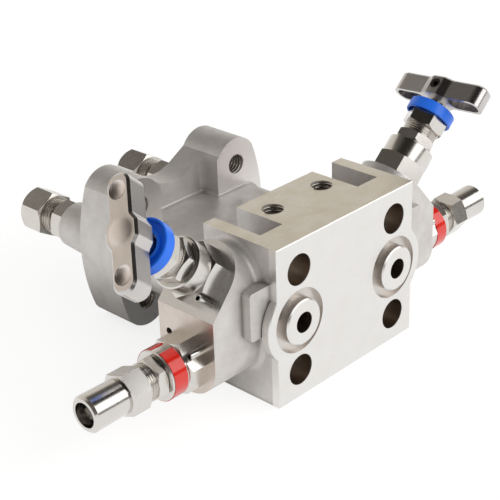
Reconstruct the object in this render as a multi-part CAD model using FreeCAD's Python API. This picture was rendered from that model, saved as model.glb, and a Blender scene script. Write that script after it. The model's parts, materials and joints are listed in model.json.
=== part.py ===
import FreeCAD, Part
import math
import os

# Instrument manifold for two lines, with an isolate and a vent valve on each.
# The origin is the centre of the instrument face. +X runs along that face,
# +Y runs back to the process end and +Z is up. All sizes are in millimetres.

Vec = FreeCAD.Vector
SIDES = {"left": -1, "right": 1}

# Joined shapes and cutters run past each other by this length
overlap = 1.0
bore_reach = 60.0

# Slack for finding an edge by its place
match_slack = 0.01

# Instrument flange, bolted to the instrument on a 54 x 41.3 pattern
block_half_width = 38.6
block_half_height = 32.25
block_depth = 35.6
block_edge = 0.35
bolt_x = 27.0
bolt_z = 20.65
bolt_clear_radius = 6.1
bolt_ear_depth = 12.9
bolt_slot_radius = 5.85
bracket_hole_x = 13.65
bracket_hole_y = 24.5
bracket_hole_radius = 4.25
bracket_hole_depth = 15.0

# Instrument ports, each with a raised spigot in a round seal recess
port_x = 27.0
port_bore_radius = 4.1
port_bore_end = 25.0
spigot_radius = 9.0
spigot_proud = 2.1
spigot_chamfer = 0.5
seal_recess_radius = 12.6
seal_recess_depth = 2.2
port_bulge_radius = 16.6
port_bulge_depth = 3.3

# Cast valve wings on both sides of the block
wing_radius = 13.8
wing_centre_y = 21.5
wing_end_x = 63.0
wing_root_x = 30.0
wing_root_fillet = 2.4
wing_blank_length = 70.0
vent_axis_z = -7.6
pad_end_x = 48.8
pad_front_y = 3.6
pad_low_z = -1.2
pad_high_z = 18.0
pad_edge_radius = 1.5

# Isolate valve axis, tilted up and out from the block
isolate_tilt = math.radians(41.0)
isolate_base_x = 53.8
isolate_base_z = 21.6

# Neck between the block and the process flange
neck_half_width = 40.5
neck_radius = 9.75

# Process flange, with four tapped lobes on the same pattern
flange_front_y = 83.0
flange_web_y = 92.0
flange_rear_y = 104.0
lobe_radius = 11.5
lobe_inner_x = 16.0
lobe_inner_z = 26.1
flange_waist_half_width = 41.8
flange_shoulder_x = 36.9
flange_shoulder_z = 26.6
flange_bow = 1.2
lobe_side_angle = math.radians(62.0)
lobe_over_angle = math.radians(119.0)
lobe_inner_angle = math.radians(148.0)
valley_z = 19.6
valley_end_x = 7.2
valley_end_rise = 1.5
valley_mid_x = 4.2
valley_mid_rise = 0.45
tapped_hole_radius = 4.25
neck_fillet = 1.4
lobe_wall_fillet = 2.6
boss_fillet = 1.5

# Process bosses and their compression fittings
boss_root_radius = 11.0
boss_end_radius = 9.6
boss_end_y = 124.5
pipe_thread_radius = 6.6
pipe_thread_depth = 12.0
process_bore_radius = 3.0
process_bore_end_y = 44.0
fitting_hex_flats = 15.875
fitting_hex_length = 7.3
fitting_neck_radius = 6.4
fitting_thread_radius = 7.14
fitting_thread_start = 9.4
fitting_thread_end = 21.0
fitting_bore_radius = 3.55
tube_radius = 4.85
tube_stop = 10.0
fitting_cone_radius = 6.2
fitting_cone_depth = 2.4
nut_flats = 17.46
nut_start = 13.6
nut_length = 14.2
nut_dome_length = 3.4
nut_dome_inset = 0.9
nut_dome_step = 1.3
nut_dome_shoulder = 1.2
nut_dome_drop = 0.7
nut_edge = 0.8
nut_end_radius = 6.7
nut_bore_end = 10.6
ferrule_radius = 5.95
ferrule_edge = 0.3
ferrule_step = 0.2
front_ferrule_lead = 0.6
front_ferrule_length = 4.0

# Valve head stations along a valve axis, from the machined face outwards
bonnet_hex_flats = 19.05
bonnet_hex_length = 10.0
bonnet_edge = 0.4
hex_rim_inset = 0.1
hex_chamfer_angle = math.radians(30.0)
bonnet_collar_radius = 9.9
bonnet_collar_end = 17.6
bonnet_neck_radius = 7.0
bonnet_neck_end = 27.2
bonnet_shank_radius = 8.5
bonnet_shank_length = 13.0
lock_nut_flats = 17.0
lock_nut_start = 17.9
lock_nut_end = 22.2
gland_start = 24.2
gland_hex_flats = 15.9
gland_hex_end = 31.0
gland_ceiling = 27.8
packing_floor = 18.0
packing_radius = 6.0
packing_top = 25.8
washer_radius = 5.9

# Spindles and tips
screw_radius = 4.9
stem_radius = 3.9
running_gap = 0.05
screw_bottom = -8.0
screw_top = 12.0
screw_bore_top = 15.2
screw_edge = 0.5
screw_shoulder = 0.9
tip_radius = 4.6
tip_cone_start = -20.5
tip_cone_radius = 3.6
tip_end = -24.0
tip_end_radius = 1.4
swivel_radius = 2.0
swivel_length = 4.0
swivel_end_gap = 0.1
chamber_radius = 5.2
seat_depth = 22.5
orifice_radius = 2.4
chamber_link_rise = 4.0
isolate_drill_end = 33.0
vent_drill_end = 24.5

# Dust cap, T-bar and its set screw
cap_radius = 10.1
cap_inner_radius = 9.3
cap_low = 29.0
cap_floor = 31.0
cap_floor_thickness = 1.2
cap_high = 34.4
cap_rim_radius = 6.2
cap_rim_height = 1.2
cap_hole_radius = 5.0
cap_edge = 0.3
bar_low = 37.5
bar_high = 47.0
bar_half_length = 24.0
bar_half_width = 5.2
bar_corner_radius = 4.6
hub_half_width = 7.3
hub_half_length = 3.2
hub_shoulder = 6.3
hub_corner_fillet = 1.6
hub_root_fillet = 2.2
bar_face_chamfer = 1.0
bar_dimple_at = 17.0
bar_dimple_radius = 3.9
bar_dimple_depth = 2.4
bar_dish_radius = 5.4
bar_dish_depth = 1.4
bar_pocket_from = 10.6
bar_pocket_to = 18.8
bar_pocket_radius = 3.8
bar_pocket_depth = 4.6
stem_end = 44.0
set_screw_radius = 2.5
set_screw_height = 42.6
set_screw_outer = 6.9
set_screw_socket_flats = 2.5
set_screw_socket_depth = 1.6
stem_fit_gap = 0.02
bar_turn = {"left": 35.5, "right": -84.5}

# Vent valve heads with a key shroud
vent_shroud_hex_end = 34.0
vent_shroud_radius = 7.0
vent_shroud_end = 49.4
vent_shroud_bore = 4.8
vent_shroud_mouth_chamfer = 0.9
vent_key_room_floor = 30.0
vent_stem_end = 40.0
vent_key_flats = 5.0
vent_key_length = 5.0
band_thickness = 0.3
band_low = 10.7
band_high = 17.0
band_gap_degrees = 26.0
vent_outlet_x = 44.3
vent_outlet_radius = 4.3
vent_outlet_depth = 7.0
vent_spot_radius = 5.3
vent_spot_depth = 0.7
vent_link_radius = 1.6

# Hollow pins that stop the bonnets from turning
pin_radius = 1.5
pin_bore_radius = 0.9
pin_proud = 7.0
pin_seat = 6.0
pin_side_gap = 0.02
vent_pin_flat = -50.0
vent_pin_shift = 0.0
isolate_pin_flat = 210.0
isolate_pin_shift = 3.25
spare_pin_y = 30.3
spare_pin_z = 0.1
spare_pin_depth = 3.0

# Turn of each hexagon on the left side in degrees, mirrored on the right
hex_turns = {
    "isolate_bonnet": 0.0,
    "isolate_lock_nut": -6.0,
    "isolate_gland": 12.0,
    "vent_bonnet": -20.0,
    "vent_lock_nut": 9.0,
    "vent_shroud": -1.0,
    "fitting_body": 10.0,
    "fitting_nut": 0.0,
}


def rod(radius, start, direction, length):
    return Part.makeCylinder(radius, length, start, direction)


def fuse_all(shapes):
    return shapes[0].multiFuse(shapes[1:]).removeSplitter()


def edges_within(shape, low, high):
    # Edges that lie wholly inside the box between two corners
    slack = match_slack
    found = []
    for edge in shape.Edges:
        box = edge.BoundBox
        above = box.XMin > low[0] - slack and box.YMin > low[1] - slack and box.ZMin > low[2] - slack
        below = box.XMax < high[0] + slack and box.YMax < high[1] + slack and box.ZMax < high[2] + slack
        if above and below:
            found.append(edge)
    return found


def turned(profile):
    # Solid of revolution about local Z from a closed list of (radius, height)
    points = [Vec(radius, 0, height) for radius, height in profile]
    wire = Part.makePolygon(points + [points[0]])
    return Part.Face(wire).revolve(Vec(0, 0, 0), Vec(0, 0, 1), 360)


def tube(outer, inner, low, high):
    return turned([(inner, low), (outer, low), (outer, high), (inner, high)])


def hex_bar(flats, low, high, turn=0.0):
    corner = flats / math.sqrt(3.0)
    points = []
    for index in range(7):
        angle = math.radians(60.0 * index + turn)
        points.append(Vec(corner * math.cos(angle), corner * math.sin(angle), low))
    face = Part.Face(Part.makePolygon(points))
    return face.extrude(Vec(0, 0, high - low))


def chamfered_hex(flats, low, high, turn=0.0, chamfer_low=True, chamfer_high=True):
    corner = flats / math.sqrt(3.0)
    rim = flats / 2.0 - hex_rim_inset
    drop = (corner - rim) * math.tan(hex_chamfer_angle)
    profile = [(0, low)]
    if chamfer_low:
        profile += [(rim, low), (corner, low + drop)]
    else:
        profile += [(corner, low)]
    if chamfer_high:
        profile += [(corner, high - drop), (rim, high)]
    else:
        profile += [(corner, high)]
    profile += [(0, high)]
    return hex_bar(flats, low, high, turn).common(turned(profile))


def axis_placement(origin, outward, upward):
    # Local Z runs outwards along the valve axis and local X points upwards
    across = outward.cross(upward)
    matrix = FreeCAD.Matrix(
        upward.x, across.x, outward.x, origin.x,
        upward.y, across.y, outward.y, origin.y,
        upward.z, across.z, outward.z, origin.z,
        0, 0, 0, 1)
    return FreeCAD.Placement(matrix)


def isolate_placement(side):
    cosine = math.cos(isolate_tilt)
    sine = math.sin(isolate_tilt)
    origin = Vec(side * isolate_base_x, wing_centre_y, isolate_base_z)
    return axis_placement(origin, Vec(side * cosine, 0, sine), Vec(-side * sine, 0, cosine))


def vent_placement(side):
    origin = Vec(side * wing_end_x, wing_centre_y, vent_axis_z)
    return axis_placement(origin, Vec(side, 0, 0), Vec(0, 0, 1))


def process_placement(side):
    return axis_placement(Vec(side * port_x, boss_end_y, 0), Vec(0, 1, 0), Vec(0, 0, 1))


def placed(shape, placement):
    copy = shape.copy()
    copy.Placement = placement.multiply(copy.Placement)
    return copy


def u_bar(radius, length, opening):
    # Bar with a round end at local +X and straight walls down to -opening
    round_end = rod(radius, Vec(0, 0, 0), Vec(0, 0, -1), length)
    walls = Part.makeBox(opening, 2 * radius, length, Vec(-opening, -radius, -length))
    return round_end.fuse(walls).removeSplitter()


def cast_wing(side):
    length = wing_blank_length
    slanted = placed(u_bar(wing_radius, length, length), isolate_placement(side))
    level_frame = axis_placement(
        Vec(side * wing_end_x, wing_centre_y, vent_axis_z), Vec(side, 0, 0), Vec(0, 0, -1))
    level = placed(u_bar(wing_radius, wing_end_x - wing_root_x, length), level_frame)
    return slanted.common(level)


def rooted_wing(side):
    # The wing outside the block, with a cast fillet where it meets the block's side
    reach = 2 * block_half_height
    low_x = wing_root_x if side > 0 else -block_half_width
    backing = Part.makeBox(
        block_half_width - wing_root_x, 2 * reach, 2 * reach,
        Vec(low_x, wing_centre_y - reach, -reach))
    joined = fuse_all([backing, cast_wing(side)])
    plane_x = side * block_half_width
    root = edges_within(
        joined, (plane_x, wing_centre_y - wing_radius, -block_half_height),
        (plane_x, wing_centre_y + wing_radius, block_half_height))
    behind = Part.makeBox(
        2 * wing_end_x, reach, 2 * reach, Vec(-wing_end_x, block_depth, -reach))
    return joined.makeFillet(wing_root_fillet, root).cut([backing, behind])


def root_pad(side):
    # Rectangular step on the front of each wing root
    length = pad_end_x - wing_root_x
    low_x = wing_root_x if side > 0 else -pad_end_x
    pad = Part.makeBox(
        length, wing_centre_y - pad_front_y, pad_high_z - pad_low_z,
        Vec(low_x, pad_front_y, pad_low_z))
    edges = []
    for edge in pad.Edges:
        middle = edge.CenterOfMass
        on_front = abs(middle.y - pad_front_y) < match_slack
        on_end = abs(abs(middle.x) - pad_end_x) < match_slack
        if on_end and not on_front:
            edges.append(edge)
    return pad.makeFillet(pad_edge_radius, edges)


def port_bulge(side):
    return rod(port_bulge_radius, Vec(side * port_x, 0, 0), Vec(0, 1, 0), port_bulge_depth)


def neck():
    length = flange_web_y - block_depth + 2 * overlap
    start_y = block_depth - overlap
    flat = Part.makeBox(
        2 * (neck_half_width - neck_radius), length, 2 * neck_radius,
        Vec(neck_radius - neck_half_width, start_y, -neck_radius))
    parts = [flat]
    for side in SIDES.values():
        start = Vec(side * (neck_half_width - neck_radius), start_y, 0)
        parts.append(rod(neck_radius, start, Vec(0, 1, 0), length))
    return fuse_all(parts)


def flange_outline():
    # Closed wire on Y = 0, made of four equal quarters
    edges = []
    for side in (1, -1):
        for level in (1, -1):
            edges += flange_quarter(side, level)
    return Part.Wire(Part.__sortEdges__(edges))


def flange_quarter(side, level):
    def at(x, z):
        return Vec(side * x, 0, level * z)
    waist = at(flange_waist_half_width, 0)
    shoulder = at(flange_shoulder_x, flange_shoulder_z)
    half_x = (flange_waist_half_width + flange_shoulder_x) / 2.0 + flange_bow
    bow = at(half_x, flange_shoulder_z / 2.0)
    def on_lobe(angle):
        return at(bolt_x + lobe_radius * math.cos(angle), bolt_z + lobe_radius * math.sin(angle))
    top = on_lobe(math.pi / 2.0)
    inner = on_lobe(lobe_inner_angle)
    valley_end = at(valley_end_x, valley_z + valley_end_rise)
    valley_mid = at(valley_mid_x, valley_z + valley_mid_rise)
    centre = at(0, valley_z)
    return [
        Part.Arc(waist, bow, shoulder).toShape(),
        Part.Arc(shoulder, on_lobe(lobe_side_angle), top).toShape(),
        Part.Arc(top, on_lobe(lobe_over_angle), inner).toShape(),
        Part.LineSegment(inner, valley_end).toShape(),
        Part.Arc(valley_end, valley_mid, centre).toShape(),
    ]


def process_flange():
    face = Part.Face(flange_outline())
    face.translate(Vec(0, flange_front_y, 0))
    whole = face.extrude(Vec(0, flange_rear_y - flange_front_y, 0))
    # The web between the two rows of lobes stands back from their faces
    lobe_height = 2 * (bolt_z + lobe_radius + overlap)
    recess = Part.makeBox(
        2 * lobe_inner_x, flange_web_y - flange_front_y, lobe_height,
        Vec(-lobe_inner_x, flange_front_y, -lobe_height / 2.0))
    return whole.cut(recess)


def process_boss(side):
    start = Vec(side * port_x, flange_rear_y - overlap, 0)
    length = boss_end_y - flange_rear_y + overlap
    return Part.makeCone(boss_root_radius, boss_end_radius, length, start, Vec(0, 1, 0))


def lobe_uprights(casting):
    # Upright edges where the lobes' inner walls meet the web
    found = []
    for side in SIDES.values():
        wall_x = side * lobe_inner_x
        found += edges_within(
            casting, (wall_x, flange_web_y, neck_radius), (wall_x, flange_web_y, lobe_inner_z))
        found += edges_within(
            casting, (wall_x, flange_web_y, -lobe_inner_z), (wall_x, flange_web_y, -neck_radius))
    return found


def boss_roots(casting):
    found = []
    for side in SIDES.values():
        centre = side * port_x
        found += edges_within(
            casting, (centre - boss_root_radius, flange_rear_y, -boss_root_radius),
            (centre + boss_root_radius, flange_rear_y, boss_root_radius))
    return found


def rear_casting():
    # Neck, flange and bosses in one, with their cast fillets
    shapes = [neck(), process_flange()] + [process_boss(side) for side in SIDES.values()]
    casting = fuse_all(shapes)
    casting = casting.makeFillet(lobe_wall_fillet, lobe_uprights(casting))
    casting = casting.makeFillet(neck_fillet, edges_within(
        casting, (-neck_half_width, flange_front_y, -neck_radius),
        (neck_half_width, flange_web_y, neck_radius)))
    return casting.makeFillet(boss_fillet, boss_roots(casting))


def bolt_slot(side, level):
    # Slot behind each bolt hole, open to the back and to the top or bottom
    centre = Vec(side * bolt_x, bolt_ear_depth, level * bolt_z)
    length = block_depth - bolt_ear_depth + overlap
    round_end = rod(bolt_slot_radius, centre, Vec(0, 1, 0), length)
    height = block_half_height - bolt_z + overlap
    low_z = bolt_z if level > 0 else -bolt_z - height
    walls = Part.makeBox(
        2 * bolt_slot_radius, length, height,
        Vec(side * bolt_x - bolt_slot_radius, bolt_ear_depth, low_z))
    return round_end.fuse(walls)


def port_cuts(side):
    centre = Vec(side * port_x, 0, 0)
    inward = Vec(0, 1, 0)
    recess = rod(seal_recess_radius, centre, inward, seal_recess_depth)
    recess = recess.cut(rod(spigot_radius, centre, inward, seal_recess_depth))
    start = Vec(side * port_x, -spigot_proud - overlap, 0)
    bore = rod(port_bore_radius, start, inward, port_bore_end + spigot_proud + overlap)
    return [recess, bore]


def spigot(side):
    profile = [
        (0, -overlap), (spigot_radius, -overlap),
        (spigot_radius, spigot_proud - spigot_chamfer),
        (spigot_radius - spigot_chamfer, spigot_proud), (0, spigot_proud)]
    frame = axis_placement(Vec(side * port_x, 0, 0), Vec(0, -1, 0), Vec(0, 0, 1))
    return placed(turned(profile), frame)


def valve_cavity(placement, drill_end):
    # Bonnet seat, tip chamber and orifice of one valve, cut along its axis
    profile = [
        (0, overlap), (bonnet_shank_radius, overlap),
        (bonnet_shank_radius, -bonnet_shank_length),
        (chamber_radius, -bonnet_shank_length), (chamber_radius, -seat_depth),
        (orifice_radius, -seat_depth), (orifice_radius, -drill_end), (0, -drill_end)]
    return placed(turned(profile), placement)


def vent_cuts(side):
    cavity = valve_cavity(vent_placement(side), vent_drill_end)
    start = Vec(side * (wing_end_x - seat_depth - overlap), wing_centre_y, vent_axis_z)
    target = Vec(side * port_x, wing_centre_y, 0)
    link = rod(vent_link_radius, start, target.sub(start), target.sub(start).Length)
    return [cavity, link]


def vent_outlet(side):
    bottom = Vec(side * vent_outlet_x, wing_centre_y, vent_axis_z - wing_radius - overlap)
    port = rod(vent_outlet_radius, bottom, Vec(0, 0, 1), vent_outlet_depth + overlap)
    drill = rod(orifice_radius, bottom, Vec(0, 0, 1), wing_radius)
    below = Vec(bottom.x, bottom.y, bottom.z - wing_root_fillet)
    spot = rod(
        vent_spot_radius, below, Vec(0, 0, 1), wing_root_fillet + vent_spot_depth + overlap)
    return [port, drill, spot]


def process_passage(side):
    start = Vec(side * port_x, boss_end_y + overlap, 0)
    socket = rod(pipe_thread_radius, start, Vec(0, -1, 0), pipe_thread_depth + overlap)
    bore = rod(process_bore_radius, start, Vec(0, -1, 0), start.y - process_bore_end_y)
    turn_point = Vec(side * port_x, process_bore_end_y, 0)
    chamber = isolate_placement(side).multVec(Vec(0, 0, chamber_link_rise - seat_depth))
    link = rod(orifice_radius, turn_point, chamber.sub(turn_point), chamber.sub(turn_point).Length)
    return [socket, bore, link]


def pin_centre(side, flat, shift):
    # Pin centre in the valve's own frame, against one flat of the bonnet
    angle = math.radians(flat)
    distance = bonnet_hex_flats / 2.0 + pin_radius + pin_side_gap
    along = distance * math.cos(angle) - shift * math.sin(angle)
    across = distance * math.sin(angle) + shift * math.cos(angle)
    return Vec(along, -side * across, 0)


def pin_stations(side):
    return [
        (pin_centre(side, vent_pin_flat, vent_pin_shift), vent_placement(side)),
        (pin_centre(side, isolate_pin_flat, isolate_pin_shift), isolate_placement(side))]


def pin_holes(side):
    holes = []
    for centre, frame in pin_stations(side):
        hole = rod(pin_radius, centre.add(Vec(0, 0, overlap)), Vec(0, 0, -1), pin_seat + overlap)
        holes.append(placed(hole, frame))
    spare = Vec(side * (wing_end_x + overlap), spare_pin_y, spare_pin_z)
    holes.append(rod(pin_radius, spare, Vec(-side, 0, 0), spare_pin_depth + overlap))
    return holes


def front_edges(body):
    # Outline of the instrument face, round the block and both port bulges
    return edges_within(
        body, (-wing_end_x, 0, -block_half_height), (wing_end_x, 0, block_half_height))


def manifold_body():
    solid_parts = [
        Part.makeBox(
            2 * block_half_width, block_depth, 2 * block_half_height,
            Vec(-block_half_width, 0, -block_half_height)),
        rear_casting()]
    cuts = []
    for side in SIDES.values():
        solid_parts += [rooted_wing(side), root_pad(side), port_bulge(side)]
        cuts += port_cuts(side)
        cuts.append(valve_cavity(isolate_placement(side), isolate_drill_end))
        cuts += vent_cuts(side)
        cuts += vent_outlet(side)
        cuts += process_passage(side)
        cuts += pin_holes(side)
        bracket_start = Vec(side * bracket_hole_x, bracket_hole_y, block_half_height + overlap)
        cuts.append(rod(
            bracket_hole_radius, bracket_start, Vec(0, 0, -1), bracket_hole_depth + overlap))
        for level in (-1, 1):
            cuts.append(bolt_slot(side, level))
            cuts.append(rod(
                bolt_clear_radius, Vec(side * bolt_x, -overlap, level * bolt_z),
                Vec(0, 1, 0), bolt_ear_depth + 2 * overlap))
            cuts.append(rod(
                tapped_hole_radius, Vec(side * bolt_x, flange_front_y - overlap, level * bolt_z),
                Vec(0, 1, 0), flange_rear_y - flange_front_y + 2 * overlap))
    body = fuse_all(solid_parts)
    body = body.makeChamfer(block_edge, front_edges(body))
    spigots = [spigot(side) for side in SIDES.values()]
    body = body.multiFuse(spigots)
    return body.cut(cuts).removeSplitter()


def bonnet(turn):
    # Screwed bonnet with its hexagon, round collar and threaded neck
    outer = turned([
        (0, -bonnet_shank_length), (bonnet_shank_radius, -bonnet_shank_length),
        (bonnet_shank_radius, 0), (bonnet_collar_radius - bonnet_edge, 0),
        (bonnet_collar_radius - bonnet_edge, bonnet_hex_length),
        (bonnet_collar_radius, bonnet_hex_length + bonnet_edge),
        (bonnet_collar_radius, bonnet_collar_end - bonnet_edge),
        (bonnet_collar_radius - bonnet_edge, bonnet_collar_end),
        (bonnet_neck_radius, bonnet_collar_end), (bonnet_neck_radius, bonnet_neck_end),
        (0, bonnet_neck_end)])
    hexagon = chamfered_hex(bonnet_hex_flats, 0, bonnet_hex_length, turn, False, True)
    bore = turned([
        (0, -bonnet_shank_length - overlap),
        (screw_radius + running_gap, -bonnet_shank_length - overlap),
        (screw_radius + running_gap, screw_bore_top),
        (stem_radius + running_gap, screw_bore_top),
        (stem_radius + running_gap, packing_floor), (packing_radius, packing_floor),
        (packing_radius, bonnet_neck_end + overlap), (0, bonnet_neck_end + overlap)])
    return outer.fuse(hexagon).cut(bore).removeSplitter()


def lock_nut(turn):
    nut = chamfered_hex(lock_nut_flats, lock_nut_start, lock_nut_end, turn)
    return nut.cut(rod(bonnet_neck_radius, Vec(0, 0, 0), Vec(0, 0, 1), bore_reach))


def packing():
    return tube(packing_radius, stem_radius + running_gap, packing_floor, packing_top)


def thrust_washer():
    return tube(washer_radius, stem_radius + running_gap, packing_top, gland_ceiling)


def gland_bore():
    return turned([
        (0, gland_start - overlap), (bonnet_neck_radius, gland_start - overlap),
        (bonnet_neck_radius, gland_ceiling), (stem_radius + running_gap, gland_ceiling),
        (stem_radius + running_gap, bore_reach), (0, bore_reach)])


def gland_adjuster(turn):
    hexagon = chamfered_hex(gland_hex_flats, gland_start, gland_hex_end, turn)
    return hexagon.cut(gland_bore())


def dust_cap():
    # Open dish above the gland with a skirt that grips its hexagon
    profile = [
        (cap_inner_radius, cap_low), (cap_radius - cap_edge, cap_low),
        (cap_radius, cap_low + cap_edge), (cap_radius, cap_high - cap_edge),
        (cap_radius - cap_edge, cap_high), (cap_inner_radius, cap_high),
        (cap_inner_radius - cap_edge, cap_floor + cap_floor_thickness),
        (cap_rim_radius, cap_floor + cap_floor_thickness),
        (cap_rim_radius, cap_floor + cap_floor_thickness + cap_rim_height),
        (cap_hole_radius, cap_floor + cap_floor_thickness + cap_rim_height),
        (cap_hole_radius, cap_floor), (cap_inner_radius, cap_floor)]
    return turned(profile)


def spindle_blank(top):
    return turned([
        (0, screw_bottom), (screw_radius - screw_edge, screw_bottom),
        (screw_radius, screw_bottom + screw_edge), (screw_radius, screw_top - screw_shoulder),
        (stem_radius, screw_top), (stem_radius, top), (0, top)])


def swivel_socket():
    return rod(
        swivel_radius + running_gap, Vec(0, 0, screw_bottom - overlap), Vec(0, 0, 1),
        swivel_length + swivel_end_gap + overlap)


def isolate_spindle():
    return spindle_blank(stem_end).cut(swivel_socket())


def vent_spindle():
    # The top of the stem is squared for a loose key
    body = spindle_blank(vent_stem_end).cut(swivel_socket())
    half = vent_key_flats / 2.0
    low = vent_stem_end - vent_key_length
    round_end = rod(stem_radius + overlap, Vec(0, 0, low), Vec(0, 0, 1), vent_key_length + overlap)
    square = Part.makeBox(
        2 * half, 2 * half, vent_key_length + 3 * overlap, Vec(-half, -half, low - overlap))
    return body.cut(round_end.cut(square))


def valve_tip():
    # Non-rotating tip, held by its stub in the foot of the spindle
    return turned([
        (0, tip_end), (tip_end_radius, tip_end), (tip_cone_radius, tip_cone_start),
        (tip_radius, tip_cone_start), (tip_radius, screw_bottom - running_gap),
        (swivel_radius, screw_bottom - running_gap),
        (swivel_radius, screw_bottom + swivel_length), (0, screw_bottom + swivel_length)])


def bar_outline():
    # Plan of the T-bar: two arms with rounded ends and a wider hub
    length = bar_half_length
    width = bar_half_width
    corner = bar_corner_radius
    edges = []
    for end in (1, -1):
        for flank in (1, -1):
            def at(x, y):
                return Vec(end * x, flank * y, 0)
            diagonal = corner * math.cos(math.radians(45.0))
            edges += [
                Part.LineSegment(at(0, hub_half_width), at(hub_half_length, hub_half_width)).toShape(),
                Part.LineSegment(at(hub_half_length, hub_half_width), at(hub_shoulder, width)).toShape(),
                Part.LineSegment(at(hub_shoulder, width), at(length - corner, width)).toShape(),
                Part.Arc(
                    at(length - corner, width),
                    at(length - corner + diagonal, width - corner + diagonal),
                    at(length, width - corner)).toShape(),
                Part.LineSegment(at(length, width - corner), at(length, 0)).toShape()]
    return Part.Wire(Part.__sortEdges__(edges))


def bar_uprights(blank, distance):
    # The four upright edges at one distance from the bar's centre
    found = []
    for end in (1, -1):
        found += edges_within(
            blank, (end * distance, -hub_half_width, bar_low), (end * distance, hub_half_width, bar_high))
    return found


def bar_blank():
    face = Part.Face(bar_outline())
    face.translate(Vec(0, 0, bar_low))
    blank = face.extrude(Vec(0, 0, bar_high - bar_low))
    blank = blank.makeFillet(hub_corner_fillet, bar_uprights(blank, hub_half_length))
    blank = blank.makeFillet(hub_root_fillet, bar_uprights(blank, hub_shoulder))
    rim = [edge for edge in blank.Edges if edge.BoundBox.ZMin > bar_high - match_slack]
    return blank.makeChamfer(bar_face_chamfer, rim)


def bar_pocket(end):
    # Hollow in the underside of each arm
    near = Vec(end * bar_pocket_from, 0, bar_low - overlap)
    far = Vec(end * bar_pocket_to, 0, bar_low - overlap)
    depth = bar_pocket_depth + overlap
    corner = Vec(min(near.x, far.x), -bar_pocket_radius, near.z)
    slab = Part.makeBox(bar_pocket_to - bar_pocket_from, 2 * bar_pocket_radius, depth, corner)
    ends = [rod(bar_pocket_radius, point, Vec(0, 0, 1), depth) for point in (near, far)]
    return slab.multiFuse(ends)


def ball_dish(radius, depth, centre_x):
    # Shallow spherical dish cut into the outer face
    ball = (radius * radius + depth * depth) / (2.0 * depth)
    return Part.makeSphere(ball, Vec(centre_x, 0, bar_high - depth + ball))


def t_bar():
    bar = bar_blank()
    cuts = [
        ball_dish(bar_dish_radius, bar_dish_depth, 0),
        rod(
            stem_radius + stem_fit_gap, Vec(0, 0, bar_low - overlap), Vec(0, 0, 1),
            stem_end - bar_low + overlap + stem_fit_gap),
        rod(set_screw_radius, Vec(0, 0, set_screw_height), Vec(0, 1, 0), hub_half_width + overlap)]
    for end in (1, -1):
        cuts.append(bar_pocket(end))
        cuts.append(ball_dish(bar_dimple_radius, bar_dimple_depth, end * bar_dimple_at))
    return bar.cut(cuts).removeSplitter()


def set_screw():
    frame = axis_placement(Vec(0, 0, set_screw_height), Vec(0, 1, 0), Vec(0, 0, 1))
    start = stem_radius + stem_fit_gap
    body = rod(set_screw_radius, Vec(0, 0, start), Vec(0, 0, 1), set_screw_outer - start)
    socket_floor = set_screw_outer - set_screw_socket_depth
    socket = hex_bar(set_screw_socket_flats, socket_floor, set_screw_outer + overlap)
    return placed(body.cut(socket), frame)


def vent_shroud(turn):
    # Hexagon and long open tube in one piece, round the key end of the spindle
    hexagon = chamfered_hex(gland_hex_flats, gland_start, vent_shroud_hex_end, turn)
    chamfer = vent_shroud_mouth_chamfer
    barrel = turned([
        (0, gland_start + overlap), (vent_shroud_radius, gland_start + overlap),
        (vent_shroud_radius, vent_shroud_end - chamfer),
        (vent_shroud_radius - chamfer, vent_shroud_end), (0, vent_shroud_end)])
    key_room = turned([
        (0, vent_key_room_floor), (vent_shroud_bore, vent_key_room_floor),
        (vent_shroud_bore, vent_shroud_end + overlap), (0, vent_shroud_end + overlap)])
    return hexagon.fuse(barrel).cut([gland_bore(), key_room]).removeSplitter()


def label_band():
    # Printed band round the collar, open by a narrow gap at the top
    band = tube(bonnet_collar_radius + band_thickness, bonnet_collar_radius, band_low, band_high)
    half = math.radians(band_gap_degrees / 2.0)
    reach = 2 * bonnet_collar_radius
    low = band_low - overlap
    wedge = Part.makePolygon([
        Vec(0, 0, low), Vec(reach, reach * math.tan(half), low),
        Vec(reach, -reach * math.tan(half), low), Vec(0, 0, low)])
    gap = Part.Face(wedge).extrude(Vec(0, 0, band_high + overlap - low))
    return band.cut(gap)


def hollow_pin(centre):
    pin = tube(pin_radius, pin_bore_radius, -pin_seat, pin_proud)
    pin.translate(centre)
    return pin


def bonnet_pins(side):
    return Part.makeCompound([placed(hollow_pin(centre), frame) for centre, frame in pin_stations(side)])


def fitting_body():
    thread_end = fitting_thread_end
    outer = turned([
        (0, -pipe_thread_depth), (pipe_thread_radius, -pipe_thread_depth),
        (pipe_thread_radius, fitting_hex_length / 2.0), (fitting_neck_radius, fitting_hex_length / 2.0),
        (fitting_neck_radius, fitting_thread_start), (fitting_thread_radius, fitting_thread_start),
        (fitting_thread_radius, thread_end), (0, thread_end)])
    hexagon = chamfered_hex(fitting_hex_flats, 0, fitting_hex_length, hex_turns["fitting_body"])
    bore = turned([
        (0, -pipe_thread_depth - overlap), (fitting_bore_radius, -pipe_thread_depth - overlap),
        (fitting_bore_radius, tube_stop), (tube_radius, tube_stop),
        (tube_radius, thread_end - fitting_cone_depth), (fitting_cone_radius, thread_end),
        (fitting_cone_radius, thread_end + overlap), (0, thread_end + overlap)])
    return outer.fuse(hexagon).cut(bore).removeSplitter()


def ferrule_stations():
    start = fitting_thread_end - fitting_cone_depth + front_ferrule_lead
    return start, start + front_ferrule_length, nut_start + nut_bore_end


def front_ferrule():
    low, middle, _ = ferrule_stations()
    return turned([
        (tube_radius, low), (tube_radius + ferrule_edge, low),
        (ferrule_radius, fitting_thread_end + ferrule_step), (ferrule_radius, middle),
        (tube_radius, middle)])


def back_ferrule():
    _, low, high = ferrule_stations()
    return turned([
        (tube_radius, low), (ferrule_radius - ferrule_step, low), (ferrule_radius, high),
        (tube_radius, high)])


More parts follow.
